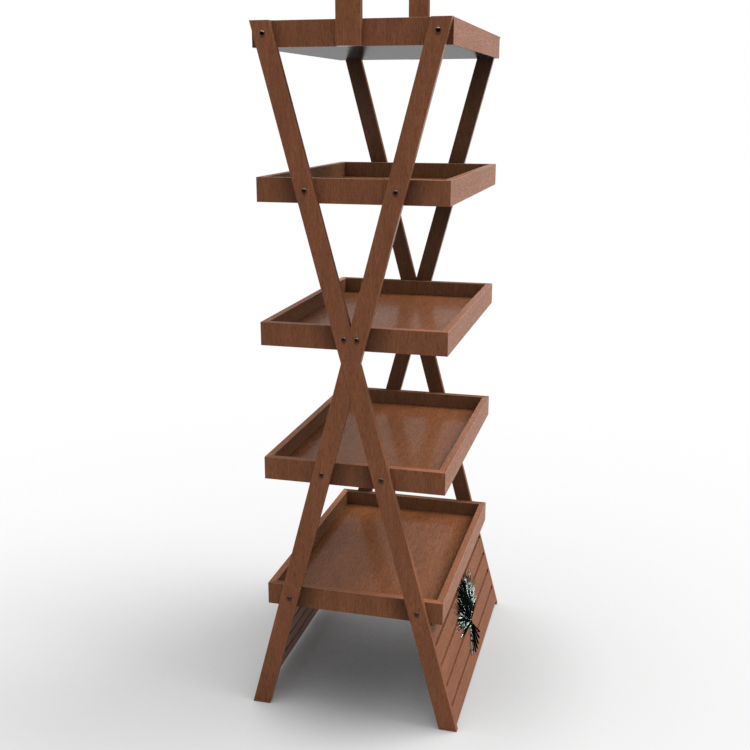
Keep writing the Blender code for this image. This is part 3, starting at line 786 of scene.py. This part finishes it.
sheafValues = {
    "lean": math.atan(0.26655),  # the panel's lean from upright
    "faceAtFloor": 0.280,  # the panel's outer face would meet the floor here
    "tieHeight": 0.118,  # of the sheaf's band above the floor
    "standOff": 0.0004,
    "earAngles": (-62, -41, -20, 0, 20, 41, 62),  # degrees from upright
    "earSizes": (0.86, 0.94, 1.0, 1.04, 1.0, 0.94, 0.86),
    "bladeAngles": (-80, -52, -30, -9, 11, 31, 51, 79),
    "bladeSizes": (0.9, 1.0, 1.06, 1.1, 1.06, 1.1, 1.0, 0.9),
    "strawAngles": (-38, -26, -13, 0, 13, 26, 38),
    "strawLength": 0.082,
    "stalkLength": 0.1,
    "stalkRadius": 0.0019,
    "stalkTaper": 0.7,
    "strawFlare": 1.1,
    "grainPairs": 8,
    "grainLength": 0.0175,
    "grainWidth": 0.0082,
    "grainStart": 0.046,  # of the first pair, along the stalk
    "grainStep": 0.0068,
    "grainOff": (0.0014, 0.0012),  # beside and above the stalk's line
    "grainTurn": 24,
    "grainTaper": 0.03,  # each pair is smaller than the first by this share more
    "beardLength": 0.05,
    "beardRadii": (0.0007, 0.0003),
    "beardOff": (0.012, 0.005, 0.0018),  # ahead of its grain, beside and above the line
    "beardTurn": 9,
    "tipGrain": (-0.002, 0.0014, 0.8),  # beyond the last pair, above the line, and its size
    "tipBeard": (0.006, 0.0018),
    "bladeLength": 0.098,
    "bladeWidth": 0.017,
    "thickness": 0.0017,
    "bandSize": (0.03, 0.013, 0.0105),
    "bandRim": 0.0018,
    "bandDepth": 0.0009,
    "wide": 1.34,
    "tall": 1.04,
    "enamel": (0.002, 0.0026, 0.0024),
    "reliefLight": (0.006, 0.011, 0.008),  # painted light: dark green on the flanks that look up
    "reliefLightFrom": (0.3, 0.7),
    # painted glints, pale and greenish
    "paintedGlint": (0.82, 0.96, 0.88),
    "crestFrom": (0.45, 0.5),
    "poolScale": 110,
    "poolFrom": (0.48, 0.52),
    "clusterScale": 24,
    "clusterFrom": (0.43, 0.5),
    "clusterLeast": 0.05,
    "strawSpan": (0.09, 0.118),  # the straws get fewer painted glints
    "strawGlintShare": 0.3,
    "roughness": 0.4,
    "poolRoughness": 0.12,
    "rippleScale": 260,
    "bumpStrength": 0.25,
    "bumpDistance": 0.0005,
}


def pick(kind, test):
    # selects the vertices, edges or faces of the edited mesh that pass the test
    mesh = bmesh.from_edit_mesh(bpy.context.edit_object.data)
    for part in (*mesh.verts, *mesh.edges, *mesh.faces):
        part.select_set(False)
    for part in getattr(mesh, kind):
        if test(part):
            part.select_set(True)
    mesh.select_flush_mode()
    bmesh.update_edit_mesh(bpy.context.edit_object.data)


leafValues = {
    "tipReach": 0.14,  # how far the point is drawn out, in lengths
    "shoulder": (0.17, 0.6),  # the first step in and up, in widths and thicknesses
    "crown": (0.14, 0.25),
    "veinDepth": 0.5,
}


def makeLeaf(length, width, thickness, sides, smoothed):
    # a domed leaf that lies along X, pointed at its end, with a vein down the middle
    bpy.ops.object.select_all(action="DESELECT")
    bpy.ops.mesh.primitive_circle_add(vertices=sides, radius=0.5, fill_type="NGON",
                                      location=(0, 0, 0))
    leaf = bpy.context.object
    bpy.ops.object.mode_set(mode="EDIT")
    bpy.ops.mesh.select_mode(type="VERT")
    bpy.ops.mesh.select_all(action="SELECT")
    bpy.ops.transform.resize(value=(length, width, 1))
    bpy.ops.transform.translate(value=(length / 2, 0, 0))
    pick("verts", lambda v: v.co.x > length * 0.97)
    bpy.ops.transform.translate(value=(length * leafValues["tipReach"], 0, 0))
    bpy.ops.mesh.select_all(action="SELECT")
    bpy.ops.mesh.extrude_region_move(TRANSFORM_OT_translate={"value": (0, 0, thickness)})
    bpy.ops.mesh.select_mode(type="FACE")
    pick("faces", lambda f: f.calc_center_median().z > thickness * 0.9)
    for stepIn, stepUp in (leafValues["shoulder"], leafValues["crown"]):
        bpy.ops.mesh.inset(thickness=width * stepIn, depth=thickness * stepUp)
    bpy.ops.mesh.select_all(action="SELECT")
    bpy.ops.mesh.bisect(plane_co=(0, 0, 0), plane_no=(0, 1, 0))
    bpy.ops.mesh.select_mode(type="VERT")
    pick("verts", lambda v: abs(v.co.y) < 1e-6 and v.co.z > thickness * 1.2)
    bpy.ops.transform.translate(value=(0, 0, -thickness * leafValues["veinDepth"]))
    bpy.ops.mesh.select_all(action="SELECT")
    bpy.ops.mesh.normals_make_consistent(inside=False)
    bpy.ops.object.mode_set(mode="OBJECT")
    if smoothed:
        smooth = leaf.modifiers.new("smooth", "SUBSURF")
        smooth.levels = smooth.render_levels = 1
        bpy.ops.object.modifier_apply(modifier="smooth")
    return leaf


def makeRod(length, nearRadius, farRadius):
    # a tapered rod along X from the origin, with rounded ends
    bpy.ops.object.select_all(action="DESELECT")
    bpy.ops.mesh.primitive_cone_add(vertices=7, radius1=nearRadius, radius2=farRadius, depth=length,
                                    location=(length / 2, 0, nearRadius), rotation=(0, math.pi / 2, 0))
    rod = bpy.context.object
    bpy.ops.object.transform_apply(location=True, rotation=True, scale=True)
    bpy.ops.object.mode_set(mode="EDIT")
    bpy.ops.mesh.select_mode(type="FACE")
    pick("faces", lambda f: abs(f.normal.x) > 0.9)
    bpy.ops.mesh.inset(thickness=farRadius * 0.4, depth=farRadius * 0.3, use_individual=True)
    bpy.ops.object.mode_set(mode="OBJECT")
    return rod


def copyTo(source, place, degrees, size=1.0):
    twin = source.copy()
    twin.data = source.data.copy()
    bpy.context.collection.objects.link(twin)
    twin.location = place
    twin.rotation_euler = (0, 0, math.radians(degrees))
    twin.scale = (size, size, size)
    return twin


def joinAll(parts, name):
    bpy.ops.object.select_all(action="DESELECT")
    for part in parts:
        part.select_set(True)
    bpy.context.view_layer.objects.active = parts[0]
    bpy.ops.object.transform_apply(location=True, rotation=True, scale=True)
    bpy.ops.object.join()
    bpy.context.object.name = name
    return bpy.context.object


def makeEar(values):
    # stalk, paired grains and long beards, along X
    grain = makeLeaf(values["grainLength"], values["grainWidth"], values["thickness"], 8, False)
    radius = values["stalkRadius"]
    parts = [makeRod(values["stalkLength"], radius, radius * values["stalkTaper"])]
    beard = makeRod(values["beardLength"], *values["beardRadii"])
    for count in range(values["grainPairs"]):
        along = values["grainStart"] + values["grainStep"] * count
        size = 1 - values["grainTaper"] * count
        aside, above = values["grainOff"]
        for way in (-1, 1):
            parts.append(copyTo(grain, (along, way * aside, above), way * values["grainTurn"], size))
        if count % 2:
            ahead, aside, above = values["beardOff"]
            for way in (-1, 1):
                place = (along + ahead, way * aside, above)
                parts.append(copyTo(beard, place, way * values["beardTurn"]))
    last = values["grainStart"] + values["grainStep"] * values["grainPairs"]
    beyond, above, size = values["tipGrain"]
    parts.append(copyTo(grain, (last + beyond, 0, above), 0, size))
    beyond, above = values["tipBeard"]
    parts.append(copyTo(beard, (last + beyond, 0, above), 0))
    bpy.data.objects.remove(grain)
    bpy.data.objects.remove(beard)
    return joinAll(parts, "ear")


def makeBand(values):
    # the flat tie round the straws, with a raised rim on both sides
    bpy.ops.object.select_all(action="DESELECT")
    bpy.ops.mesh.primitive_cylinder_add(vertices=16, radius=0.5, depth=1, location=(0, 0, 0),
                                        rotation=(math.pi / 2, 0, 0))
    band = bpy.context.object
    bpy.ops.object.transform_apply(location=True, rotation=True, scale=True)
    bpy.ops.object.mode_set(mode="EDIT")
    bpy.ops.mesh.select_all(action="SELECT")
    bpy.ops.transform.resize(value=values["bandSize"])
    bpy.ops.mesh.bisect(plane_co=(0, 0, 0), plane_no=(0, 0, 1), clear_inner=True, use_fill=True)
    bpy.ops.mesh.select_mode(type="FACE")
    pick("faces", lambda f: abs(f.normal.y) < 0.1 and f.normal.z > -0.5)
    bpy.ops.mesh.inset(thickness=values["bandRim"], depth=-values["bandDepth"])
    bpy.ops.mesh.select_all(action="SELECT")
    bpy.ops.mesh.normals_make_consistent(inside=False)
    bpy.ops.object.mode_set(mode="OBJECT")
    return band


def makeSheaf(values):
    ear = makeEar(values)
    blade = makeLeaf(values["bladeLength"], values["bladeWidth"], values["thickness"], 14, True)
    radius = values["stalkRadius"]
    straw = makeRod(values["strawLength"], radius, radius * values["strawFlare"])
    parts = [makeBand(values)]
    for degrees, size in zip(values["earAngles"], values["earSizes"]):
        parts.append(copyTo(ear, (0, 0, 0), 90 - degrees, size))
    for degrees, size in zip(values["bladeAngles"], values["bladeSizes"]):
        parts.append(copyTo(blade, (0, 0, 0), 90 - degrees, size))
    for degrees in values["strawAngles"]:
        parts.append(copyTo(straw, (0, 0, 0), degrees - 90))
    sheaf = joinAll(parts, "front_panel_sheaf")
    for source in (ear, blade, straw):
        bpy.data.objects.remove(source)
    # stood against the leaning panel, facing the room
    lean = values["lean"]
    out = Vector((math.cos(lean), 0, math.sin(lean)))
    faceAtTie = values["faceAtFloor"] - math.tan(lean) * values["tieHeight"]
    face = Vector((faceAtTie, 0, values["tieHeight"]))
    sheaf.rotation_euler = (math.pi / 2 - lean, 0, math.pi / 2)
    sheaf.location = face + out * values["standOff"]
    sheaf.scale = (values["wide"], values["tall"], 1)
    bpy.ops.object.select_all(action="DESELECT")
    sheaf.select_set(True)
    bpy.ops.object.transform_apply(location=True, rotation=True, scale=True)
    bpy.ops.object.shade_smooth_by_angle(angle=math.radians(40))
    return sheaf


def makeEnamel(values):
    # black enamel with painted light: dark green on the flanks that look up, and pale painted glints on
    # the crests of leaves and grains that look up
    finish = bpy.data.materials.new("paintedGlintEnamel")
    finish.use_nodes = True
    tree = finish.node_tree
    shader = tree.nodes["Principled BSDF"]
    spots = addNode(tree, "ShaderNodeTexCoord", -1000, 0)
    pool = addNoise(tree, spots.outputs["Object"], -800, 0, values["poolScale"], 2, 0.6)
    cluster = addNoise(tree, spots.outputs["Object"], -800, 200, values["clusterScale"], 1)
    inCluster = addRange(tree, cluster, -600, 200, *values["clusterFrom"], values["clusterLeast"], 1)
    inPool = addRange(tree, pool, -600, 100, *values["poolFrom"], 0, 1)
    glint = addMath(tree, "MULTIPLY", -400, 100, inPool, inCluster)
    side = addNode(tree, "ShaderNodeNewGeometry", -1000, 500)
    facing = addNode(tree, "ShaderNodeSeparateXYZ", -800, 500)
    link(tree, side.outputs["Normal"], facing.inputs[0])
    # painted light: dark green on the flanks that look up
    reliefLight = addRange(tree, facing.outputs["Z"], -600, 600, *values["reliefLightFrom"], 0, 1)
    # painted glints on the crests that look up, in pools of noise, fewer on the straws
    crest = addRange(tree, facing.outputs["Z"], -600, 400, *values["crestFrom"], 0, 1)
    glint = addMath(tree, "MULTIPLY", -400, 200, glint, crest)
    place = addNode(tree, "ShaderNodeSeparateXYZ", -800, 800)
    link(tree, spots.outputs["Object"], place.inputs[0])
    glintByHeight = addRange(tree, place.outputs["Z"], -600, 800, *values["strawSpan"],
                       values["strawGlintShare"], 1)
    glint = addMath(tree, "MULTIPLY", -200, 200, glint, glintByHeight)
    base = addColourMix(tree, -400, 400, reliefLight, values["enamel"], values["reliefLight"])
    colour = addColourMix(tree, -400, 0, glint, base, values["paintedGlint"])
    link(tree, colour, shader.inputs["Base Color"])
    rough = addMath(tree, "MULTIPLY_ADD", -400, -200, pool, values["poolRoughness"],
                    values["roughness"])
    link(tree, rough, shader.inputs["Roughness"])
    ripple = addNoise(tree, spots.outputs["Object"], -600, -400, values["rippleScale"], 2)
    link(tree, addBump(tree, -300, -400, ripple, values), shader.inputs["Normal"])
    shader.inputs["Specular IOR Level"].default_value = 0.0
    return finish


sheaf = makeSheaf(sheafValues)
sheaf.data.materials.clear()
sheaf.data.materials.append(makeEnamel(sheafValues))
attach(sheaf, "root")
print("sheaf on the front panel:", len(sheaf.data.polygons), "faces")


print("scene built")
